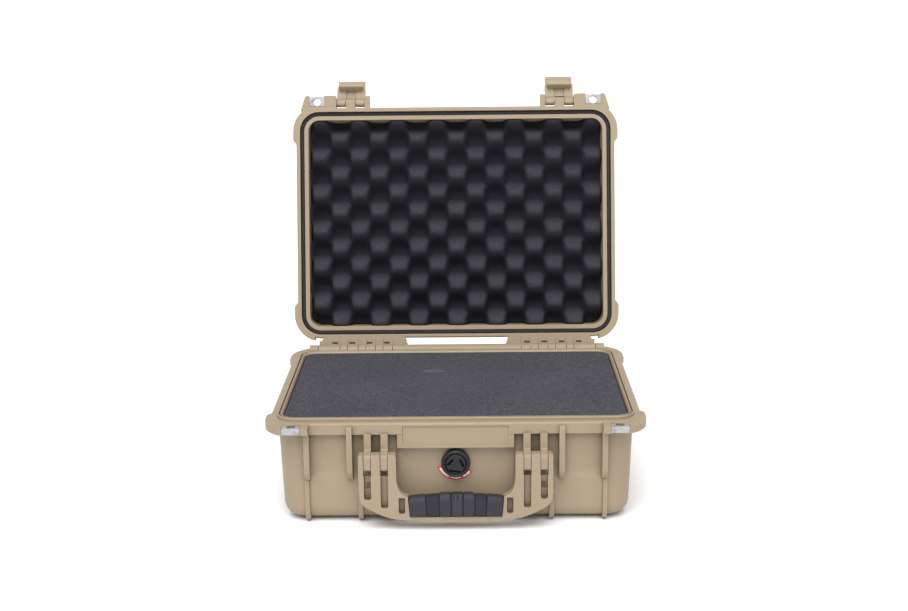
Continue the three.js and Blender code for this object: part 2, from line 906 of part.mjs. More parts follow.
// The lever turns between the link's cheeks; its foot flares out for a finger.
function latchLever(side) {
  const web = roundedShape([
    [-155.6, 97],
    [-160.4, 97],
    [-160.6, 92],
    [-156, 92],
  ]);
  const blade = roundedShape([
    [-155.6, 93.4, 1],
    [-160.8, 93.4, 1.5],
    [-161, 82, 3],
    [-164, 77, 1.2],
    [-161.8, 76.2, 1],
    [-157.4, 81, 3],
  ]);
  const plan = roundedShape([
    [side * (LATCH_X - 17), 94],
    [side * (LATCH_X - 17), 77.4, 3],
    [side * LATCH_X, 75.4, 12],
    [side * (LATCH_X + 17), 77.4, 3],
    [side * (LATCH_X + 17), 94],
  ]);
  const left = LATCH_X - LATCH_HALF;
  const right = LATCH_X + LATCH_HALF;
  const slab = prismX(blade, side * (left + 0.4), side * (right - 0.4), 3);
  const foot = slab.intersect(prismY(plan, -170, -150, 3));
  const xs = [side * (left + 4.4), side * (right - 4.4)];
  const lever = join(barX(LEVER_PIVOT, 2.8, ...xs), prismX(web, ...xs, 2), foot);
  return cut(lever, barX(LEVER_PIVOT, 1.3 + GAP, side * (left - 1), side * (right + 1), 12));
}

function latchPins(side) {
  const inner = LATCH_X - LATCH_HALF;
  const outer = LATCH_X + LATCH_HALF;
  return {
    link: barX(LINK_PIVOT, 1.8, side * (inner - 6), side * (outer + 3.6)),
    lever: barX(LEVER_PIVOT, 1.3, side * (inner + 0.3), side * (outer - 0.3), 12),
  };
}

// ---------------------------------------------------------------------------------------------
// Pressure valve
// ---------------------------------------------------------------------------------------------

function valveParts() {
  const body = turned([
    [0, -138.4],
    [14.4, -138.4],
    [14.9, -137.9],
    [14.9, -135.6],
    [9.2, -135.6],
    [9.2, -121.5],
    [5, -121.5],
    [5, -134],
    [0, -134],
  ]);
  const cap = turned([
    [0, -144.6],
    [9.4, -144.6],
    [10.2, -145.6],
    [13.2, -145.6],
    [15, -144.4],
    [15.5, -142.6],
    [15.5, -138.7],
    [0, -138.7],
  ]);
  const seal = turned([
    [9.6, -135.3],
    [13.6, -135.3],
    [13.6, -134.3],
    [9.6, -134.3],
    [9.6, -135.3],
  ], 24);
  const membrane = turned([
    [0, -127.4],
    [4.7, -127.4],
    [4.7, -126.4],
    [0, -126.4],
  ], 20);
  const hexagon = new THREE.Shape();
  for (let corner = 0; corner < 6; corner++) {
    const angle = (corner * Math.PI) / 3;
    const x = 14.5 * Math.cos(angle);
    const z = VALVE_Z + 14.5 * Math.sin(angle);
    if (corner === 0) {
      hexagon.moveTo(x, z);
    } else {
      hexagon.lineTo(x, z);
    }
  }
  const nut = cut(
    prismY(hexagon, -128.2, -123),
    turned([[0, -130], [9.5, -130], [9.5, -120], [0, -120]], 24),
  );
  const arc = new THREE.Shape();
  const first = THREE.MathUtils.degToRad(197);
  const last = THREE.MathUtils.degToRad(325);
  arc.absarc(0, VALVE_Z, 21, first, last, false);
  arc.absarc(0, VALVE_Z, 16, last, first, true);
  const label = prismY(arc, -135, -134.3, 12);
  return [
    mesh('valve_body', body, blackPlastic),
    mesh('valve_cap', cap, blackPlastic),
    mesh('valve_seal', seal, blackRubber),
    mesh('valve_membrane', membrane, blackRubber),
    mesh('valve_nut', nut, blackPlastic),
    mesh('valve_label', label, signalRed),
  ];
}

// ---------------------------------------------------------------------------------------------
// Assembly
// ---------------------------------------------------------------------------------------------

// A group that turns what it holds about an axis along X, in the frame the pieces are described in.
function turnedGroup({ y, z }, degrees, ...children) {
  const pivot = new THREE.Group();
  pivot.position.set(0, y, z);
  pivot.rotation.x = -THREE.MathUtils.degToRad(degrees);
  const inside = new THREE.Group();
  inside.position.set(0, -y, -z);
  inside.add(...children);
  pivot.add(inside);
  return pivot;
}

function sideName(side) {
  return side < 0 ? 'left' : 'right';
}

function latchGroup({ side, turn }) {
  const name = sideName(side);
  const lever = mesh(`latch_lever_${name}`, latchLever(side), desertTan);
  return turnedGroup(
    LINK_PIVOT,
    turn,
    mesh(`latch_link_${name}`, latchLink(side), desertTan),
    mesh(`latch_lever_pin_${name}`, latchPins(side).lever, brightSteel),
    turnedGroup(LEVER_PIVOT, LEVER_TURN, lever),
  );
}

function lidPieces(side) {
  const name = sideName(side);
  return [
    mesh(`padlock_guard_lid_${name}`, padlockGuard(side, LID_Z), brightSteel),
    mesh(`latch_pivot_pin_${name}`, latchPins(side).link, brightSteel),
  ];
}

function buildCase() {
  const group = new THREE.Group();
  group.add(mesh('base_shell', baseShell(), desertTan));
  group.add(...foamLayers());
  group.add(...valveParts());
  group.add(mesh('handle_frame', handleFrame(), desertTan));
  group.add(mesh('handle_grip', handleGrip(), gripRubber));
  for (const side of BOTH) {
    const name = sideName(side);
    group.add(mesh(`hinge_pin_${name}`, hingePin(side), brightSteel));
    group.add(mesh(`handle_pin_${name}`, handlePin(side), brightSteel));
    group.add(mesh(`padlock_guard_base_${name}`, padlockGuard(side, BASE_TAB_Z), brightSteel));
  }
  const lid = turnedGroup(
    HINGE,
    LID_OPEN,
    mesh('lid_shell', lidShell(), desertTan),
    mesh('lid_gasket', lidGasket(), blackRubber),
    mesh('lid_foam', lidFoam(), charcoalFoam),
    ...BOTH.flatMap(lidPieces),
    ...LATCHES.map(latchGroup),
  );
  group.add(lid);
  group.position.y = -OPEN_MIDDLE_Y;
  return group;
}

export default buildCase();
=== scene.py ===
import json
import math

import bmesh
import bpy
import numpy as np
from mathutils import Matrix, Vector


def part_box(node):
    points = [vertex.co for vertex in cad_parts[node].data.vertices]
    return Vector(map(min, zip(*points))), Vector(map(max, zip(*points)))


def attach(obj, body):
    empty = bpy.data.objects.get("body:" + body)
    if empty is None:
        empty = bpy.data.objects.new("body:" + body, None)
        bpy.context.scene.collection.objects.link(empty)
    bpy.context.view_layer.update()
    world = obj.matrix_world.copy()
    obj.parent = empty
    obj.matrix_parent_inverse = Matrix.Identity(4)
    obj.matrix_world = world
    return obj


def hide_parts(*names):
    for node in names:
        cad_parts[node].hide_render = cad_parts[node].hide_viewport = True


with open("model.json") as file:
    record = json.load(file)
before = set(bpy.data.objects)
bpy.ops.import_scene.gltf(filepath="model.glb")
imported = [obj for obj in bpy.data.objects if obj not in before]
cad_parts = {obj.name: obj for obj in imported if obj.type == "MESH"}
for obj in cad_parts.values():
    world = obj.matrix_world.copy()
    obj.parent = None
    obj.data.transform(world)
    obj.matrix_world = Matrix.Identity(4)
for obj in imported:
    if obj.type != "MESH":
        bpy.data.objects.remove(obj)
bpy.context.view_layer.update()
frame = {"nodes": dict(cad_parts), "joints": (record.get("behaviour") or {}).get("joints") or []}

MM = 0.001
SIDES = ("left", "right")

# ------------------------------------------------------------------------------------------------
# Camera, light and floor
# ------------------------------------------------------------------------------------------------

CAMERA_AT = (0.0141, -1.7195, 0.6111)
CAMERA_TURN = math.radians(0.54)
CAMERA_DIP = math.radians(90 - 13.7)  # 13.7 degrees below level
CAMERA_ROLL = math.radians(-0.59)

camera = bpy.data.objects.new("camera", bpy.data.cameras.new("camera"))
bpy.context.scene.collection.objects.link(camera)
camera.data.lens = 59.77
camera.data.sensor_width = 36
camera.matrix_world = (
    Matrix.Translation(CAMERA_AT)
    @ Matrix.Rotation(CAMERA_TURN, 4, "Z")
    @ Matrix.Rotation(CAMERA_DIP, 4, "X")
    @ Matrix.Rotation(CAMERA_ROLL, 4, "Z")
)
bpy.context.scene.camera = camera
bpy.context.scene.view_settings.view_transform = "Standard"


def sun(name, strength, softness, elevation, azimuth):
    """A soft light from afar, in degrees. Azimuth 0 is the front, 90 the right and 180 behind."""
    light = bpy.data.lights.new(name, "SUN")
    light.energy = strength
    light.angle = math.radians(softness)
    lamp = bpy.data.objects.new(name, light)
    e, a = math.radians(elevation), math.radians(azimuth)
    towards = Vector((math.sin(a) * math.cos(e), -math.cos(a) * math.cos(e), math.sin(e)))
    lamp.rotation_mode = "QUATERNION"
    lamp.rotation_quaternion = towards.to_track_quat("Z", "Y")
    bpy.context.scene.collection.objects.link(lamp)


sun("softbox", 3.45, 55, 57, -7)
sun("fill", 0.3, 60, 9, 4)
sun("back_fill", 0.7, 60, 48, 176)

# white walls all round up to the first height, and a dimmer ceiling from the second one
SKY = (("From Min", 0.16), ("From Max", 0.36), ("To Min", 1.0), ("To Max", 0.42))

world = bpy.data.worlds.new("studio")
world.use_nodes = True
background = world.node_tree.nodes["Background"]
background.inputs["Color"].default_value = (1.0, 1.0, 1.0, 1)
direction = world.node_tree.nodes.new("ShaderNodeTexCoord")
height = world.node_tree.nodes.new("ShaderNodeSeparateXYZ")
brightness = world.node_tree.nodes.new("ShaderNodeMapRange")
for socket, value in SKY:
    brightness.inputs[socket].default_value = value
world.node_tree.links.new(direction.outputs["Generated"], height.inputs["Vector"])
world.node_tree.links.new(height.outputs["Z"], brightness.inputs["Value"])
world.node_tree.links.new(brightness.outputs["Result"], background.inputs["Strength"])
bpy.context.scene.world = world

# ------------------------------------------------------------------------------------------------
# Materials
# ------------------------------------------------------------------------------------------------

RIM_FOOT = (0.1136, 0.1140)  # heights between which the painted shade fades out at the sealing rim's foot
RIM_CREST = (0.1174, 0.1180)  # and comes back over its crest
RIM_PAINTED_SHADE = 0.12  # share of the painted shade that stays on the rim
SCUFF = (-0.027, -0.016, 0.117)  # a pale mark on the top of the foam
SCUFF_SQUEEZE = (0.55, 1, 1)  # makes it longer along X
SCUFF_TONE = (128, 128, 132)


class Finish:
    """One procedural material. Patterns are placed in the case's own frame, in metres."""

    def __init__(self, name, **sockets):
        self.material = bpy.data.materials.new(name)
        self.material.use_nodes = True
        self.nodes = self.material.node_tree.nodes
        self.links = self.material.node_tree.links
        self.shader = self.nodes["Principled BSDF"]
        self.place = self.node("ShaderNodeTexCoord").outputs["Object"]
        self.set(**sockets)

    def node(self, kind, inputs=None, **settings):
        made = self.nodes.new(kind)
        for key, value in settings.items():
            setattr(made, key, value)
        for key, value in (inputs or {}).items():
            self.feed(made.inputs[key], value)
        return made

    def feed(self, socket, value):
        if isinstance(value, bpy.types.NodeSocket):
            self.links.new(value, socket)
        else:
            socket.default_value = value

    def set(self, **sockets):
        for key, value in sockets.items():
            self.feed(self.shader.inputs[key.replace("_", " ")], value)

    def noise(self, scale, detail=2, roughness=0.5, stretch=None):
        """Values about 0.5, in patches of about 1 / scale metres."""
        place = self.place
        if stretch:
            place = self.node("ShaderNodeMapping", {"Vector": place, "Scale": stretch}).outputs[0]
        inputs = {"Vector": place, "Scale": scale, "Detail": detail, "Roughness": roughness}
        return self.node("ShaderNodeTexNoise", inputs).outputs["Fac"]

    def cells(self, scale):
        """The distance from the middle of the nearest open cell."""
        inputs = {"Vector": self.place, "Scale": scale}
        return self.node("ShaderNodeTexVoronoi", inputs).outputs["Distance"]

    def span(self, value, low, high, to_low=0.0, to_high=1.0):
        """value between low and high becomes a number between to_low and to_high."""
        inputs = {
            "Value": value, "From Min": low, "From Max": high, "To Min": to_low, "To Max": to_high,
        }
        return self.node("ShaderNodeMapRange", inputs).outputs["Result"]

    def math(self, operation, *values):
        return self.node("ShaderNodeMath", dict(enumerate(values)), operation=operation).outputs[0]

    def vectors(self, operation, *values):
        """The same for vectors. LENGTH gives a number."""
        made = self.node("ShaderNodeVectorMath", dict(enumerate(values)), operation=operation)
        return made.outputs["Value" if operation == "LENGTH" else "Vector"]

    def mix(self, amount, first, second):
        made = self.node("ShaderNodeMix", data_type="RGBA")
        for index, value in ((0, amount), (6, first), (7, second)):
            self.feed(made.inputs[index], value)
        return made.outputs[2]

    def bump(self, height, distance, strength=1.0, below=None):
        """Relief of that height in metres, over another one if it is given."""
        inputs = {"Height": height, "Distance": distance, "Strength": strength}
        if below:
            inputs["Normal"] = below
        return self.node("ShaderNodeBump", inputs).outputs["Normal"]

    def rounded(self, radius):
        """Shading that rounds the sharp edges to that radius."""
        return self.node("ShaderNodeBevel", {"Radius": radius}, samples=4).outputs["Normal"]

    def corners(self, reach, inside, samples=4):
        """1 in the open, less within reach of an inner corner, or of an outer edge if inside."""
        return self.node(
            "ShaderNodeAmbientOcclusion",
            {"Distance": reach},
            inside=inside,
            only_local=True,
            samples=samples,
        ).outputs["AO"]


def linear(red, green, blue):
    """A colour given as 0 to 255 screen values, as the shader wants it."""
    def channel(value):
        value /= 255
        return value / 12.92 if value <= 0.04045 else ((value + 0.055) / 1.055) ** 2.4
    return (channel(red), channel(green), channel(blue), 1.0)


def moulded_plastic():
    """Tan resin with a fine spark-eroded grain, faint flow patches and painted edge highlights.

    Painted shade darkens its creases and hollows, hardly at the height of the base's sealing rim.
    """
    f = Finish("moulded_plastic", IOR=1.46)
    tan, pale, deep = linear(146, 131, 108), linear(167, 151, 126), linear(130, 112, 87)
    # the deep brown of the painted shade in hollows and slots
    painted_shade_tone = linear(74, 52, 32)
    patches = f.span(f.noise(7, 3), 0.35, 0.65)
    colour = f.mix(f.math("MULTIPLY", patches, 0.22), tan, deep)
    speckle = f.span(f.noise(1500, 2), 0.4, 0.62)
    colour = f.mix(f.math("MULTIPLY", speckle, 0.13), colour, pale)
    # painted highlight: the outer edges are paler, unevenly along their length
    painted_edge_highlight = f.span(f.corners(0.0016, True), 0.93, 0.62)
    uneven = f.span(f.noise(90, 3), 0.38, 0.6, 0.25, 1.0)
    colour = f.mix(f.math("MULTIPLY", f.math("MULTIPLY", painted_edge_highlight, uneven), 0.42), colour, pale)
    # painted shade: a warm brown line along every inner corner
    painted_crease_shade = f.span(f.corners(0.003, False, 6), 0.72, 0.42, 0.0, 0.5)
    colour = f.mix(painted_crease_shade, colour, linear(150, 108, 68))
    # painted shade: hollows and slots turn deep brown where they shut out the light, less so on the
    # sealing rim
    hollows = f.span(f.corners(0.014, False, 6), 0.5, 0.26, 0.0, 0.95)
    height = f.node("ShaderNodeSeparateXYZ", {"Vector": f.place}).outputs["Z"]
    off_rim = f.math("MAXIMUM", f.span(height, *RIM_FOOT, 1.0, 0.0), f.span(height, *RIM_CREST))
    painted_shade = f.math("MULTIPLY", hollows, f.math("MAXIMUM", off_rim, RIM_PAINTED_SHADE))
    colour = f.mix(painted_shade, colour, painted_shade_tone)
    grain = f.bump(f.noise(1100, 3, 0.6), 0.00011, 0.55, below=f.rounded(0.0009))
    f.set(
        Base_Color=colour,
        Roughness=f.span(f.noise(45, 4), 0.3, 0.7, 0.44, 0.56),
        Normal=f.bump(f.noise(26, 2), 0.0005, 0.25, below=grain),
    )
    return f.material


def cut_foam():
    """Grey foam with a cut face of fine open cells and a faint scuff."""
    f = Finish("cut_foam", Roughness=0.96, Specular_IOR_Level=0.1)
    grey, light, dark = linear(69, 69, 74), linear(94, 94, 99), linear(45, 45, 51)
    cells = f.cells(900)
    colour = f.mix(f.span(cells, 0.25, 0.75, 0.35, 0.0), grey, dark)
    colour = f.mix(f.span(f.noise(420, 3, 0.65), 0.46, 0.66, 0.0, 0.75), colour, light)
    colour = f.mix(f.span(f.noise(120, 4, 0.7), 0.48, 0.7, 0.0, 0.4), colour, dark)
    colour = f.mix(f.span(f.noise(11, 3), 0.3, 0.75, 0.0, 0.25), colour, dark)
    from_scuff = f.vectors("SUBTRACT", f.place, SCUFF)
    away = f.vectors("LENGTH", f.vectors("MULTIPLY", from_scuff, SCUFF_SQUEEZE))
    broken = f.span(f.noise(160, 3), 0.36, 0.58, 0.35, 1.0)
    scuff = f.math("MULTIPLY", f.span(away, 0.001, 0.009, 0.42, 0.0), broken)
    colour = f.mix(scuff, colour, linear(*SCUFF_TONE))
    relief = f.bump(cells, 0.00035, 0.6)
    f.set(
        Base_Color=colour,
        Normal=f.bump(f.noise(240, 3), 0.0006, 0.5, below=relief),
    )
    return f.material


def convoluted_foam():
    """Charcoal open-cell foam with painted shade in its hollows and painted light on the upper side
    of each bump.
    """
    f = Finish("convoluted_foam", Roughness=0.97, Specular_IOR_Level=0.1)
    base, light, dark = linear(56, 56, 61), linear(78, 78, 84), linear(37, 37, 43)
    cells = f.cells(1000)
    colour = f.mix(f.span(cells, 0.2, 0.7, 0.4, 0.0), base, dark)
    colour = f.mix(f.span(f.noise(430, 3, 0.7), 0.5, 0.72, 0.0, 0.5), colour, light)
    # the recess attribute holds the painted shade share, not the depth
    depth = f.node("ShaderNodeAttribute", attribute_name="recess").outputs["Fac"]
    colour = f.mix(f.span(depth, 0.02, 0.42, 0.0, 0.96), colour, dark)
    relief = f.bump(cells, 0.0003, 0.6)
    f.set(
        Base_Color=colour,
        Normal=f.bump(f.noise(330, 4, 0.65), 0.0007, 0.5, below=relief),
    )
    return f.material


def rubber(name, shade, light, roughness, grain):
    """Dull rubber or plastic of two close shades, with painted shade in its hollows."""
    f = Finish(name, Specular_IOR_Level=0.22)
    colour = f.mix(f.span(f.noise(60, 4), 0.35, 0.7, 0.0, 0.5), shade, light)
    colour = f.mix(f.span(f.noise(1300, 2), 0.5, 0.7, 0.0, 0.3), colour, light)
    # painted shade: near black in grooves, slots and inner corners
    hollows = f.span(f.corners(0.004, False), 0.85, 0.4, 0.0, 0.85)
    colour = f.mix(hollows, colour, linear(8, 8, 9))
    f.set(
        Base_Color=colour,
        Roughness=f.span(f.noise(150, 3), 0.3, 0.7, roughness - 0.07, roughness + 0.07),
        Normal=f.bump(f.noise(grain, 3, 0.6), 0.00012, 0.6),
    )
    return f.material


def brushed_steel():
    """Stainless sheet with fine brushing along X and a few darker scuffs."""
    f = Finish("brushed_steel", Metallic=1.0, Anisotropic=0.35)
    brushing = f.noise(900, 3, 0.6, stretch=(0.04, 1, 1))
    scuffs = f.span(f.noise(110, 4, 0.7), 0.52, 0.72)
    colour = f.mix(scuffs, linear(178, 176, 177), linear(128, 126, 129))
    f.set(
        Base_Color=colour,
        Roughness=f.span(brushing, 0.3, 0.7, 0.28, 0.5),
        Normal=f.bump(brushing, 0.00004, 0.7, below=f.rounded(0.0003)),
    )
    return f.material


def printed_film(name, shade, light):
    """Glossy film of one ink, a little uneven."""
    f = Finish(name, IOR=1.5, Coat_Weight=0.3, Coat_Roughness=0.2)
    f.set(
        Base_Color=f.mix(f.span(f.noise(400, 3), 0.4, 0.7), shade, light),
        Roughness=f.span(f.noise(260, 3), 0.3, 0.7, 0.26, 0.4),
        Normal=f.bump(f.noise(500, 2), 0.00003, 0.5),
    )
    return f.material


def studio_floor():
    """White paper, a little uneven."""
    f = Finish("studio_floor", Roughness=0.75, Specular_IOR_Level=0.1)
    f.set(Base_Color=f.mix(f.noise(3, 2), (0.9, 0.9, 0.905, 1), (0.915, 0.915, 0.92, 1)))
    return f.material


TAN = moulded_plastic()
GREY_FOAM = cut_foam()
DARK_FOAM = convoluted_foam()
GASKET = rubber("gasket_rubber", linear(38, 36, 40), linear(50, 48, 52), 0.62, 900)
GRIP = rubber("grip_rubber", linear(46, 46, 52), linear(57, 57, 63), 0.6, 1300)
BLACK = rubber("valve_plastic", linear(34, 34, 36), linear(44, 44, 46), 0.36, 1500)
MEMBRANE = rubber("vent_membrane", linear(214, 213, 209), linear(228, 227, 224), 0.8, 700)
STEEL = brushed_steel()
RED = printed_film("red_film", linear(196, 26, 42), linear(206, 38, 52))
WHITE = printed_film("white_film", linear(238, 230, 230), linear(246, 240, 239))

# ------------------------------------------------------------------------------------------------
# The moulded and metal parts, as the CAD has them, with softened edges
# ------------------------------------------------------------------------------------------------

SHARP_ANGLE = math.radians(32)
WELD = 0.01 * MM


def smoothing_group():
    """Joins the imported triangles and shades them smooth, except across sharp edges."""
    group = bpy.data.node_groups.new("smooth_faces", "GeometryNodeTree")
    group.interface.new_socket("Geometry", in_out="INPUT", socket_type="NodeSocketGeometry")
    group.interface.new_socket("Geometry", in_out="OUTPUT", socket_type="NodeSocketGeometry")
    start, end = group.nodes.new("NodeGroupInput"), group.nodes.new("NodeGroupOutput")
    remove = group.nodes.new("GeometryNodeRemoveAttribute")
    remove.inputs["Name"].default_value = "custom_normal"
    merge = group.nodes.new("GeometryNodeMergeByDistance")
    merge.inputs["Distance"].default_value = WELD
    faces = group.nodes.new("GeometryNodeSetShadeSmooth")
    faces.domain = "FACE"
    edges = group.nodes.new("GeometryNodeSetShadeSmooth")
    edges.domain = "EDGE"
    angle = group.nodes.new("GeometryNodeInputMeshEdgeAngle")
    shallow = group.nodes.new("FunctionNodeCompare")
    shallow.operation = "LESS_THAN"
    shallow.inputs["B"].default_value = SHARP_ANGLE
    group.links.new(start.outputs[0], remove.inputs[0])
    group.links.new(remove.outputs[0], merge.inputs[0])
    group.links.new(merge.outputs[0], faces.inputs[0])
    group.links.new(faces.outputs[0], edges.inputs[0])
    group.links.new(angle.outputs["Unsigned Angle"], shallow.inputs["A"])
    group.links.new(shallow.outputs[0], edges.inputs["Shade Smooth"])
    group.links.new(edges.outputs[0], end.inputs[0])
    return group


SMOOTH_FACES = smoothing_group()


def finish_node(name, material):
    """Gives a CAD node its material, and smooth shading that leaves its mesh as it is."""
    node = frame["nodes"][name]
    node.data.materials.clear()
    node.data.materials.append(material)
    smooth = node.modifiers.new("smooth", "NODES")
    smooth.node_group = SMOOTH_FACES
    shade = node.modifiers.new("shade", "WEIGHTED_NORMAL")
    shade.mode = "FACE_AREA"
    shade.weight = 80
    shade.keep_sharp = True


for name in ("base_shell", "lid_shell", "handle_frame"):
    finish_node(name, TAN)
for name in ("lid_gasket", "valve_seal"):
    finish_node(name, GASKET)
for name in ("valve_body", "valve_nut"):
    finish_node(name, BLACK)
finish_node("valve_membrane", MEMBRANE)
finish_node("valve_label", RED)
for side in SIDES:
    finish_node("latch_link_" + side, TAN)
    finish_node("latch_lever_" + side, TAN)
    for place in ("base", "lid"):
        finish_node("padlock_guard_" + place + "_" + side, STEEL)
    for pin in ("hinge_pin_", "handle_pin_", "latch_pivot_pin_", "latch_lever_pin_"):
        finish_node(pin + side, STEEL)

# ------------------------------------------------------------------------------------------------
# Mesh helpers
# ------------------------------------------------------------------------------------------------


def piece(name, points, faces, material, body, replaces=()):
    """A shaded piece of the case that rides on a body and takes the place of CAD nodes."""
    data = bpy.data.meshes.new(name)
    data.from_pydata([tuple(p) for p in points], [], faces)
    data.validate()
    data.shade_smooth()
    data.materials.append(material)
    obj = bpy.data.objects.new(name, data)
    bpy.context.scene.collection.objects.link(obj)
    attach(obj, body)
    if replaces:
        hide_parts(*replaces)
    return obj


def loft(rings):
    """(points, faces) of a closed skin over rings of equal length, with a face at each end."""
    count = len(rings[0])
    points = [p for ring in rings for p in ring]
    faces = []
    for level in range(len(rings) - 1):
        for i in range(count):
            j = (i + 1) % count
            a, b = level * count, (level + 1) * count
            faces.append((a + i, a + j, b + j, b + i))
    faces.append(tuple(reversed(range(count))))
    faces.append(tuple((len(rings) - 1) * count + i for i in range(count)))
    return points, faces


def rounded_outline(half_x, half_y, radius, step):
    """Points round a rectangle with rounded corners, anticlockwise, about step apart or closer."""
    corners = ((1, 1, 0), (-1, 1, 90), (-1, -1, 180), (1, -1, 270))
    arc_steps = max(6, int(radius * math.pi / 2 / step))
    points = []
    for i, (sx, sy, first) in enumerate(corners):
        cx, cy = sx * (half_x - radius), sy * (half_y - radius)
        for k in range(arc_steps + 1):
            angle = math.radians(first + 90 * k / arc_steps)
            points.append((cx + radius * math.cos(angle), cy + radius * math.sin(angle)))
        nx, ny, start = corners[(i + 1) % 4]
        angle = math.radians(start)
        x = nx * (half_x - radius) + radius * math.cos(angle)
        y = ny * (half_y - radius) + radius * math.sin(angle)
        x0, y0 = points[-1]
        side_steps = max(2, int(math.hypot(x - x0, y - y0) / step))
        for k in range(1, side_steps):
            t = k / side_steps
            points.append((x0 + (x - x0) * t, y0 + (y - y0) * t))
    return np.array(points)


def ripple(x, y, size):
    """A smooth unevenness between -1 and 1, in waves of about size metres."""
    k = 2 * math.pi / size
    return (
        np.sin(k * (x + 0.37 * y) + 0.6)
        + np.sin(k * (0.83 * y - 0.41 * x) + 2.1)
        + np.sin(k * 1.7 * (x * 0.6 + y) + 4.0)
    ) / 3


def quarter_turn(steps):
    """Angles from 0 to 90 degrees, in radians."""
    return [math.pi / 2 * k / steps for k in range(steps + 1)]


def subtract(obj, cutter_points, cutter_faces):
    """Cuts a closed shape out of a piece and leaves no helper behind."""
    data = bpy.data.meshes.new("cutter")
    data.from_pydata([tuple(p) for p in cutter_points], [], cutter_faces)
    cutter = bpy.data.objects.new("cutter", data)
    bpy.context.scene.collection.objects.link(cutter)
    boolean = obj.modifiers.new("cut", "BOOLEAN")
    boolean.operation = "DIFFERENCE"
    boolean.solver = "EXACT"
    boolean.object = cutter
    depsgraph = bpy.context.evaluated_depsgraph_get()
    result = bpy.data.meshes.new_from_object(obj.evaluated_get(depsgraph))
    obj.modifiers.remove(boolean)
    obj.data = result
    bpy.data.objects.remove(cutter)


def box_shape(low, high):
    """(points, faces) of a box."""
    xs, ys, zs = zip(low, high)
    points = [(x, y, z) for z in zs for y in ys for x in xs]
    faces = [(0, 2, 3, 1), (4, 5, 7, 6), (0, 1, 5, 4), (2, 6, 7, 3), (0, 4, 6, 2), (1, 3, 7, 5)]
    return points, faces


def rod_shape(middle, radius, low_y, high_y, count=32):
    """(points, faces) of a round bar along Y, about a middle given as x and z."""
    angles = [2 * math.pi * i / count for i in range(count)]
    circle = [(middle[0] + radius * math.cos(a), middle[1] - radius * math.sin(a)) for a in angles]
    return loft([[(x, y, z) for x, z in circle] for y in (low_y, high_y)])


# ------------------------------------------------------------------------------------------------
# Foam in the base: three slabs with softly rounded, slightly uneven edges
# ------------------------------------------------------------------------------------------------

CAVITY_RADIUS = 14.4 * MM
LEAST_RADIUS = 2 * MM
OUTLINE_STEP = 7 * MM
UNDER_RINGS = (0.12, 0.5, 0.85)  # shares of the outline, from the middle of the underside out
SIDE_RINGS = (0.33, 0.66)  # shares of the way up the side
TOP_RINGS = (0.985, 0.96, 0.92, 0.86, 0.78, 0.68, 0.56, 0.43, 0.3, 0.17, 0.06)  # from the rim in
UNEVEN_SIDES = 0.0012  # of the half size
UNEVEN_TOP = 0.12  # of the crown
NUT_POCKET = 17 * MM  # radius of the hollow that clears the nut behind the front wall
POCKET_FRONT, POCKET_BACK = 12 * MM, 6 * MM  # how far that hollow passes the nut
nut_low, nut_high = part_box("valve_nut")
nut_middle = ((nut_low.x + nut_high.x) / 2, (nut_low.z + nut_high.z) / 2)


def half_size(name, part):
    """Half the width and length of a node over its lower or upper third, and its middle."""
    co = np.array([v.co for v in frame["nodes"][name].data.vertices])
    height = (co[:, 2] - co[:, 2].min()) / np.ptp(co[:, 2])
    near = co[height < 0.35] if part == "lower" else co[height > 0.65]
    low, high = near[:, :2].min(0), near[:, :2].max(0)
    return (high - low) / 2, (high + low) / 2


def foam_slab(name, low_edge, high_edge, crown):
    """Replaces a foam layer by a slab with edges of those radii and a top that rises by crown."""
    low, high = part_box(name)
    bottom, middle = half_size(name, "lower")
    top, _ = half_size(name, "upper")

    def ring(z, inset):
        t = (z - low.z) / (high.z - low.z)
        hx, hy = bottom + (top - bottom) * min(1, max(0, t)) - inset
        radius = max(LEAST_RADIUS, CAVITY_RADIUS - inset)
        outline = rounded_outline(hx, hy, radius, OUTLINE_STEP)
        wobble = 1 - UNEVEN_SIDES * (1 + ripple(outline[:, 0], outline[:, 1] + z, 0.09))
        return outline * wobble[:, None]

    def placed(outline, heights):
        return [(x + middle[0], y + middle[1], z) for (x, y), z in zip(outline, heights)]

    def dome(outline, level):
        x, y = outline[:, 0] / top[0], outline[:, 1] / top[1]
        rise = (1 - x**2) * (1 - y**2)
        dips = UNEVEN_TOP * crown * (1 + ripple(outline[:, 0], outline[:, 1], 0.13))
        return level + crown * rise - dips

    rings = []
    under = ring(low.z, low_edge)
    for t in UNDER_RINGS:
        rings.append(placed(under * t, [low.z] * len(under)))
    for a in quarter_turn(4):
        z = low.z + low_edge * (1 - math.cos(a))
        rings.append(placed(ring(z, low_edge * (1 - math.sin(a))), [z] * len(under)))
    rim = high.z - crown
    for t in SIDE_RINGS:
        z = low.z + low_edge + (rim - high_edge - low.z - low_edge) * t
        rings.append(placed(ring(z, 0), [z] * len(under)))
    for a in quarter_turn(5):
        z = rim - high_edge * (1 - math.sin(a))
        outline = ring(z, high_edge * (1 - math.cos(a)))
        rings.append(placed(outline, np.minimum(dome(outline, z), high.z)))
    last = ring(rim, high_edge)
    for t in TOP_RINGS:
        outline = last * t
        rings.append(placed(outline, np.minimum(dome(outline, rim), high.z)))
    points, faces = loft(rings)
    layer = name.removeprefix("foam_layer_")
    slab = piece("padding_" + layer, points, faces, GREY_FOAM, "base", [name])
    if low.z < nut_high.z and high.z > nut_low.z:
        ends = (nut_low.y - POCKET_FRONT, nut_high.y + POCKET_BACK)
        subtract(slab, *rod_shape(nut_middle, NUT_POCKET, *ends))


foam_slab("foam_layer_bottom", 8 * MM, 1.0 * MM, 0.1 * MM)
foam_slab("foam_layer_middle", 1.2 * MM, 1.2 * MM, 0.1 * MM)
foam_slab("foam_layer_top", 1.2 * MM, 2.6 * MM, 1.0 * MM)

# ------------------------------------------------------------------------------------------------
# Foam in the lid: a slab with a checkerboard of bumps and hollows, cut square at its sides
# ------------------------------------------------------------------------------------------------

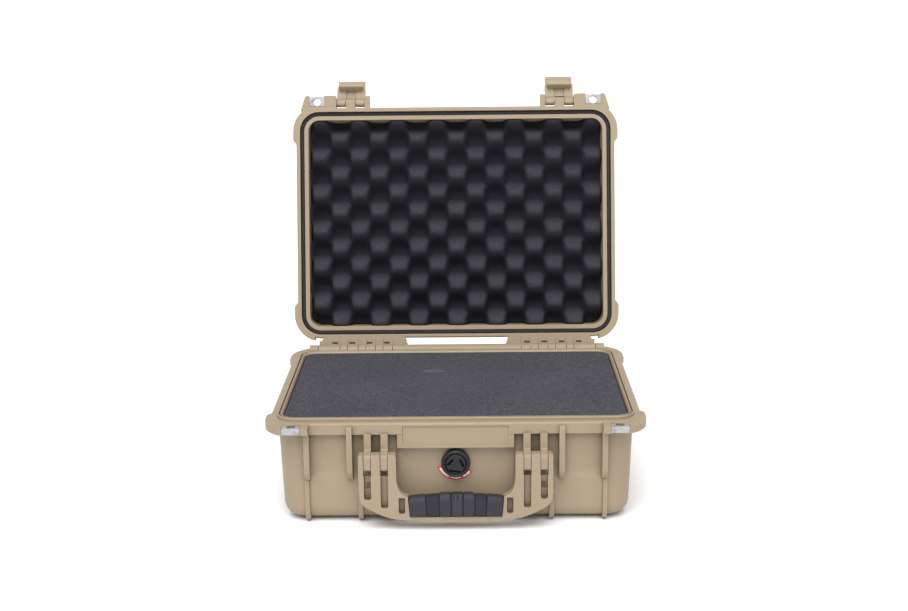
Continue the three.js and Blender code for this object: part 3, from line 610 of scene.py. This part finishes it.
EGG_PITCH = (49.0 * MM, 46.2 * MM)  # between bumps across the lid, and from its hinge to its front
EGG_PEAK = (-23.18 * MM, 11.5 * MM)  # one of them, from the middle of the base
EGG_DEPTH = 24 * MM
EGG_HARDNESS = (3.4, 1.1)  # the bumps are squarer across the lid than the other way
EGG_RADIUS = 13.3 * MM  # of the slab's corners
EGG_BACK_EDGE = 10 * MM  # radius of its edge against the lid's ceiling
EGG_TAPER = 2.4 * MM  # how far each side leans in
EGG_GRID = (168, 120)
PAINTED_LIGHT_SHIFT = -8 * MM  # painted light: the foam is palest on the side of each bump that is up when the lid is open
BASE_MIDDLE_Y = -59 * MM
hinge = next(j for j in frame["joints"] if j["name"] == "lid_hinge")
hinge_at = Vector(hinge["pos_m"])
opened = (
    Matrix.Translation(hinge_at)
    @ Matrix.Rotation(-math.radians(hinge["range_deg"][1]), 4, Vector(hinge["axis"]))
    @ Matrix.Translation(-hinge_at)
)


def egg_foam():
    """Made as in the closed lid, bumps down, and then turned with it to where it stands open."""
    closed = opened.inverted()
    node = np.array([closed @ v.co for v in frame["nodes"]["lid_foam"].data.vertices])
    low, high = node.min(0), node.max(0)
    mid_x, mid_y = (low[0] + high[0]) / 2, (low[1] + high[1]) / 2
    rim = np.array([(high[0] - low[0]) / 2, (high[1] - low[1]) / 2])
    back = rim - EGG_TAPER
    count_x, count_y = EGG_GRID
    u, v = np.meshgrid(np.linspace(-1, 1, count_x), np.linspace(-1, 1, count_y), indexing="ij")
    x, y = u * rim[0], v * rim[1]
    # the corners of the grid are pulled in onto the rounded outline
    inner = rim - EGG_RADIUS
    cx = np.clip((np.abs(x) - inner[0]) / EGG_RADIUS, 0, 1)
    cy = np.clip((np.abs(y) - inner[1]) / EGG_RADIUS, 0, 1)
    both = (cx > 0) & (cy > 0)
    length = np.hypot(cx, cy)
    pull = np.where(both, np.maximum(cx, cy) / np.maximum(length, 1e-9), 1)
    x = np.where(both, np.sign(x) * (inner[0] + cx * pull * EGG_RADIUS), x)
    y = np.where(both, np.sign(y) * (inner[1] + cy * pull * EGG_RADIUS), y)

    def wave(value, axis, peak):
        """From 1 on a bump to -1 in a hollow."""
        hardness = EGG_HARDNESS[axis]
        c = np.cos(2 * math.pi * (value - peak) / EGG_PITCH[axis])
        return 0.2 * c + 0.8 * np.tanh(hardness * c) / math.tanh(hardness)

    sway = 0.5 * MM * ripple(x, y, 0.12)
    peak_y = EGG_PEAK[1] + BASE_MIDDLE_Y - mid_y
    across = wave(x + sway, 0, EGG_PEAK[0])
    recess = (1 - across * wave(y + sway, 1, peak_y)) / 2
    # painted shade: the hollows darkened, moved so that the side of each bump that is up when the
    # lid is open stays pale as if lit
    shade = (1 - across * wave(y + sway, 1, peak_y + PAINTED_LIGHT_SHIFT)) / 2
    recess = recess * (1 + 0.04 * ripple(y, x, 0.07)) + 0.012
    z = low[2] + EGG_DEPTH * np.clip(recess, 0, 1.1)

    def taper(level):
        """Shares of the rim's half sizes at that height. The slab narrows to the lid's ceiling."""
        t = (level - low[2]) / (high[2] - low[2])
        return 1 - (1 - back[0] / rim[0]) * t, 1 - (1 - back[1] / rim[1]) * t

    tx, ty = taper(z)
    grid = np.stack([x * tx + mid_x, y * ty + mid_y, z], -1)
    points = [tuple(p) for p in grid.reshape(-1, 3)]
    # the painted shade share is kept on each point for the foam's material
    hollow = list(np.clip(shade, 0, 1).reshape(-1))
    faces = []
    for i in range(count_x - 1):
        for j in range(count_y - 1):
            a = i * count_y + j
            faces.append((a, a + 1, a + count_y + 1, a + count_y))
    border = [i * count_y for i in range(count_x)]
    border += [(count_x - 1) * count_y + j for j in range(1, count_y)]
    border += [i * count_y + count_y - 1 for i in range(count_x - 2, -1, -1)]
    border += [j for j in range(count_y - 2, 0, -1)]
    rim_x, rim_y = x.reshape(-1)[border], y.reshape(-1)[border]
    start = z.reshape(-1)[border]
    previous = border
    levels = [(t, 0.0) for t in (0.06, 0.3, 0.65, 1.0)]
    levels += [(1.0, angle) for angle in quarter_turn(4)[1:]]
    wall = high[2] - EGG_BACK_EDGE
    for t, angle in levels:
        inset = EGG_BACK_EDGE * (1 - math.cos(angle))
        heights = start + (wall - start) * t + EGG_BACK_EDGE * math.sin(angle)
        tx, ty = taper(np.minimum(heights, wall))
        sx = tx * (1 - inset / rim[0])
        sy = ty * (1 - inset / rim[1])
        first = len(points)
        points += list(zip(rim_x * sx + mid_x, rim_y * sy + mid_y, heights))
        # the slab's sides get full painted shade
        hollow += [1.0] * len(border)
        current = list(range(first, len(points)))
        for i in range(len(border)):
            j = (i + 1) % len(border)
            faces.append((previous[i], previous[j], current[j], current[i]))
        previous = current
    faces.append(tuple(previous))
    points = [opened @ Vector(p) for p in points]
    foam = piece("padding_lid", points, faces, DARK_FOAM, "lid", ["lid_foam"])
    depth = foam.data.attributes.new("recess", "FLOAT", "POINT")
    depth.data.foreach_set("value", hollow)
    work = bmesh.new()
    work.from_mesh(foam.data)
    bmesh.ops.recalc_face_normals(work, faces=work.faces)
    work.to_mesh(foam.data)
    work.free()


egg_foam()

# ------------------------------------------------------------------------------------------------
# Handle grip: a rubber sleeve in seven pads, two of them finely ribbed
# ------------------------------------------------------------------------------------------------

GROOVES = [v * MM for v in (-31.6, -18.1, -5.3, 7.5, 20.3, 32.6)]
GROOVE_DEPTH, GROOVE_WIDTH = 1.15 * MM, 0.6 * MM
RIBBED = ((GROOVES[0], GROOVES[1]), (GROOVES[4], GROOVES[5]))
RIB_PITCH, RIB_DEPTH = 1.75 * MM, 0.6 * MM
RIB_MARGIN = 1.1 * MM  # plain strip between a groove and the ribs
NOTCHES = (-2.4 * MM, 2.1 * MM)  # two small dents near the top of the front
NOTCH_DEPTH, NOTCH_WIDTH, NOTCH_HEIGHT = 1.7 * MM, 0.75 * MM, 2.0 * MM
NOTCH_DROP = 3.2 * MM  # below the top
ARCH_DROP = 3.4 * MM  # how much lower the top is at its ends than in the middle
PAD_RISE, PAD_HALF, PAD_EDGE = 0.7 * MM, 18.6 * MM, 0.35 * MM  # the middle pads, which stand higher
GRIP_STATIONS = 320
GRIP_END_RADIUS = 2.0 * MM
FOOT_HALF = 48.6 * MM  # half the sleeve's length along its lower edge
SHOULDER_RISE = 21.7 * MM  # the height at which the sleeve has its full length
FOOT_RADIUS, CROWN_RADIUS = 3 * MM, 6.5 * MM  # of its lower and upper edges
CORNER_STEPS = 8
CORE_HALF = 47.3 * MM  # half the length of the hollow that the handle's bar fills
CORE_DEPTHS = (5.7 * MM, 10.8 * MM)  # its ends along Y and Z, from the sleeve's lowest corner
CORE_HEIGHTS = (-2 * MM, 17.4 * MM)


def handle_grip():
    low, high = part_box("handle_grip")
    half = (high.x - low.x) / 2

    def relief(x):
        """How far the surface lies below the plain sleeve at that station."""
        depth = 0.0
        for groove in GROOVES:
            depth += GROOVE_DEPTH * math.exp(-(((x - groove) / GROOVE_WIDTH) ** 2))
        for first, last in RIBBED:
            if first + RIB_MARGIN < x < last - RIB_MARGIN:
                turn = (x - first) / RIB_PITCH
                depth += RIB_DEPTH * (0.5 - 0.5 * math.cos(2 * math.pi * turn))
        return depth

    def top(x):
        """The sleeve arches, and its middle stands a little higher."""
        a = abs(x)
        arch = high.z + 0.2 * MM - ARCH_DROP * (a / half) ** 2.2
        middle = PAD_RISE / (1 + math.exp((a - PAD_HALF) / PAD_EDGE))
        return arch + middle - 0.4 * MM

    rings = []
    for x in np.linspace(-half, half, GRIP_STATIONS):
        past = max(0.0, GRIP_END_RADIUS - (half - abs(x)))
        inset = GRIP_END_RADIUS - math.sqrt(max(0.0, GRIP_END_RADIUS**2 - past**2)) + relief(x)
        y0, y1 = low.y + inset, high.y - inset
        z0, z1 = low.z + min(inset, 1.2 * MM), top(x) - inset
        ring = []
        corners = (
            (y1, z0, -90, FOOT_RADIUS),
            (y1, z1, 0, CROWN_RADIUS),
            (y0, z1, 90, CROWN_RADIUS),
            (y0, z0, 180, FOOT_RADIUS),
        )
        for cy, cz, first, radius in corners:
            my = cy - radius if cy == y1 else cy + radius
            mz = cz - radius if cz == z1 else cz + radius
            for k in range(CORNER_STEPS + 1):
                angle = math.radians(first + 90 * k / CORNER_STEPS)
                y = my + radius * math.cos(angle)
                z = mz + radius * math.sin(angle)
                dip = 0.0
                if y < low.y + 5 * MM:
                    below = (z - z1 + NOTCH_DROP) / NOTCH_HEIGHT
                    for notch in NOTCHES:
                        beside = (x - notch) / NOTCH_WIDTH
                        dip += NOTCH_DEPTH * math.exp(-(beside**2) - below**2)
                up = min(1.0, (z - low.z) / SHOULDER_RISE)
                lean = FOOT_HALF + (half - FOOT_HALF) * up
                ring.append((x * lean / half, y + dip, z))
        rings.append(ring)
    points, faces = loft(rings)
    grip = piece("grip_sleeve", points, faces, GRIP, "handle", ["handle_grip"])
    core_low = (-CORE_HALF, low.y + CORE_DEPTHS[0], low.z + CORE_HEIGHTS[0])
    core_high = (CORE_HALF, low.y + CORE_DEPTHS[1], low.z + CORE_HEIGHTS[1])
    subtract(grip, *box_shape(core_low, core_high))


handle_grip()

# ------------------------------------------------------------------------------------------------
# Pressure valve: a knob with a rounded ring, a sunk groove and three finger slots, and its label
# ------------------------------------------------------------------------------------------------

# the knob is drawn in millimetres from its middle and brought to the size of its CAD node
FINGER_SLOTS = (  # ends of the three slots in its face
    ((-7.9, -0.4), (-3.5, 4.4)),
    ((4.6, 4.4), (8.2, -2.8)),
    ((-5.5, -7.7), (3.8, -9.0)),
)
SLOT_DEPTH, SLOT_HALF = 3.2, 0.95
KNOB_RADIUS = 15.5
KNOB_SIDES = 180
KNOB_PROFILE = (  # radius and distance behind the ring's crown
    (0, 0.9), (1.2, 0.9),
    *((2 + 0.4 * k, 0.9) for k in range(20)),
    (9.95, 0.95), (10.3, 1.2), (10.55, 1.8), (10.85, 2.15), (11.2, 2.2), (11.5, 2.0),
    (11.75, 1.1), (12.1, 0.5), (12.6, 0.12), (13.2, 0.0), (13.8, 0.12), (14.4, 0.6),
    (14.9, 1.4), (15.25, 2.4), (KNOB_RADIUS, 3.5), (KNOB_RADIUS, 5.4), (KNOB_RADIUS, 6.9),
)
FILM_SUNK, FILM_RAISED = 0.1 * MM, 0.12 * MM  # behind and in front of the label's face
cap_low, cap_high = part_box("valve_cap")
cap_x, cap_z = (cap_low.x + cap_high.x) / 2, (cap_low.z + cap_high.z) / 2


def from_segment(x, z, start, end):
    """Distance of a point from the line between two others."""
    dx, dz = end[0] - start[0], end[1] - start[1]
    share = ((x - start[0]) * dx + (z - start[1]) * dz) / (dx**2 + dz**2)
    share = min(1.0, max(0.0, share))
    return math.hypot(x - start[0] - share * dx, z - start[1] - share * dz)


def valve_cap():
    """A skin turned from the profile, from a point in the middle of its face to a flat back."""
    scale = (cap_high.x - cap_low.x) / 2 / KNOB_RADIUS
    front = cap_low.y
    count = KNOB_SIDES
    points, faces = [(cap_x, front + KNOB_PROFILE[0][1] * MM, cap_z)], []
    for radius, back in KNOB_PROFILE[1:]:
        for i in range(count):
            a = 2 * math.pi * i / count
            x, z = radius * math.cos(a), radius * math.sin(a)
            gap = min(from_segment(x, z, *slot) for slot in FINGER_SLOTS)
            sunk = SLOT_DEPTH * math.exp(-((gap / SLOT_HALF) ** 6))
            y = front + (back + sunk) * MM
            points.append((cap_x + x * scale, min(y, cap_high.y), cap_z + z * scale))
    for i in range(count):
        faces.append((0, 1 + i, 1 + (i + 1) % count))
    for level in range(len(KNOB_PROFILE) - 2):
        a, b = 1 + level * count, 1 + (level + 1) * count
        for i in range(count):
            j = (i + 1) % count
            faces.append((a + i, b + i, b + j, a + j))
    last = 1 + (len(KNOB_PROFILE) - 2) * count
    faces.append(tuple(last + i for i in range(count)))
    piece("valve_knob", points, faces, BLACK, "base", ["valve_cap"])


def label_inlay(name, inner, outer, first, last):
    """A raised band of white film on the red label, with rounded ends.

    Its radii are in millimetres and its ends in degrees from the right, anticlockwise.
    """
    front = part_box("valve_label")[0].y
    arc_steps, end_steps = 28, 8
    half = (outer - inner) / 2
    middle = (outer + inner) / 2
    outline = []
    for radius, start, end, side in ((outer, first, last, 0), (inner, last, first, 180)):
        for k in range(arc_steps + 1):
            a = math.radians(start + (end - start) * k / arc_steps)
            outline.append((radius * math.cos(a), radius * math.sin(a)))
        for k in range(1, end_steps):
            turn = math.radians(side + 180 * k / end_steps)
            x, z = middle + half * math.cos(turn), half * math.sin(turn)
            outline.append((x * math.cos(a) - z * math.sin(a), x * math.sin(a) + z * math.cos(a)))
    rings = []
    for y in (front + FILM_SUNK, front - FILM_RAISED):
        rings.append([(cap_x + x * MM, y, cap_z + z * MM) for x, z in outline])
    points, faces = loft(rings)
    piece(name, points, faces, WHITE, "base")


valve_cap()
label_inlay("label_band_left", 17.3, 19.6, 207, 243)
label_inlay("label_band_low", 18.2, 19.5, 254, 285)
label_inlay("label_band_right", 17.3, 19.6, 296, 318)

# ------------------------------------------------------------------------------------------------
# Floor
# ------------------------------------------------------------------------------------------------

FLOOR_HALF = 300
FLOOR_CORNERS = [
    (-FLOOR_HALF, -FLOOR_HALF, 0),
    (FLOOR_HALF, -FLOOR_HALF, 0),
    (FLOOR_HALF, FLOOR_HALF, 0),
    (-FLOOR_HALF, FLOOR_HALF, 0),
]
floor_data = bpy.data.meshes.new("floor")
floor_data.from_pydata(FLOOR_CORNERS, [], [(0, 1, 2, 3)])
floor_data.materials.append(studio_floor())
floor = bpy.data.objects.new("floor", floor_data)
bpy.context.scene.collection.objects.link(floor)
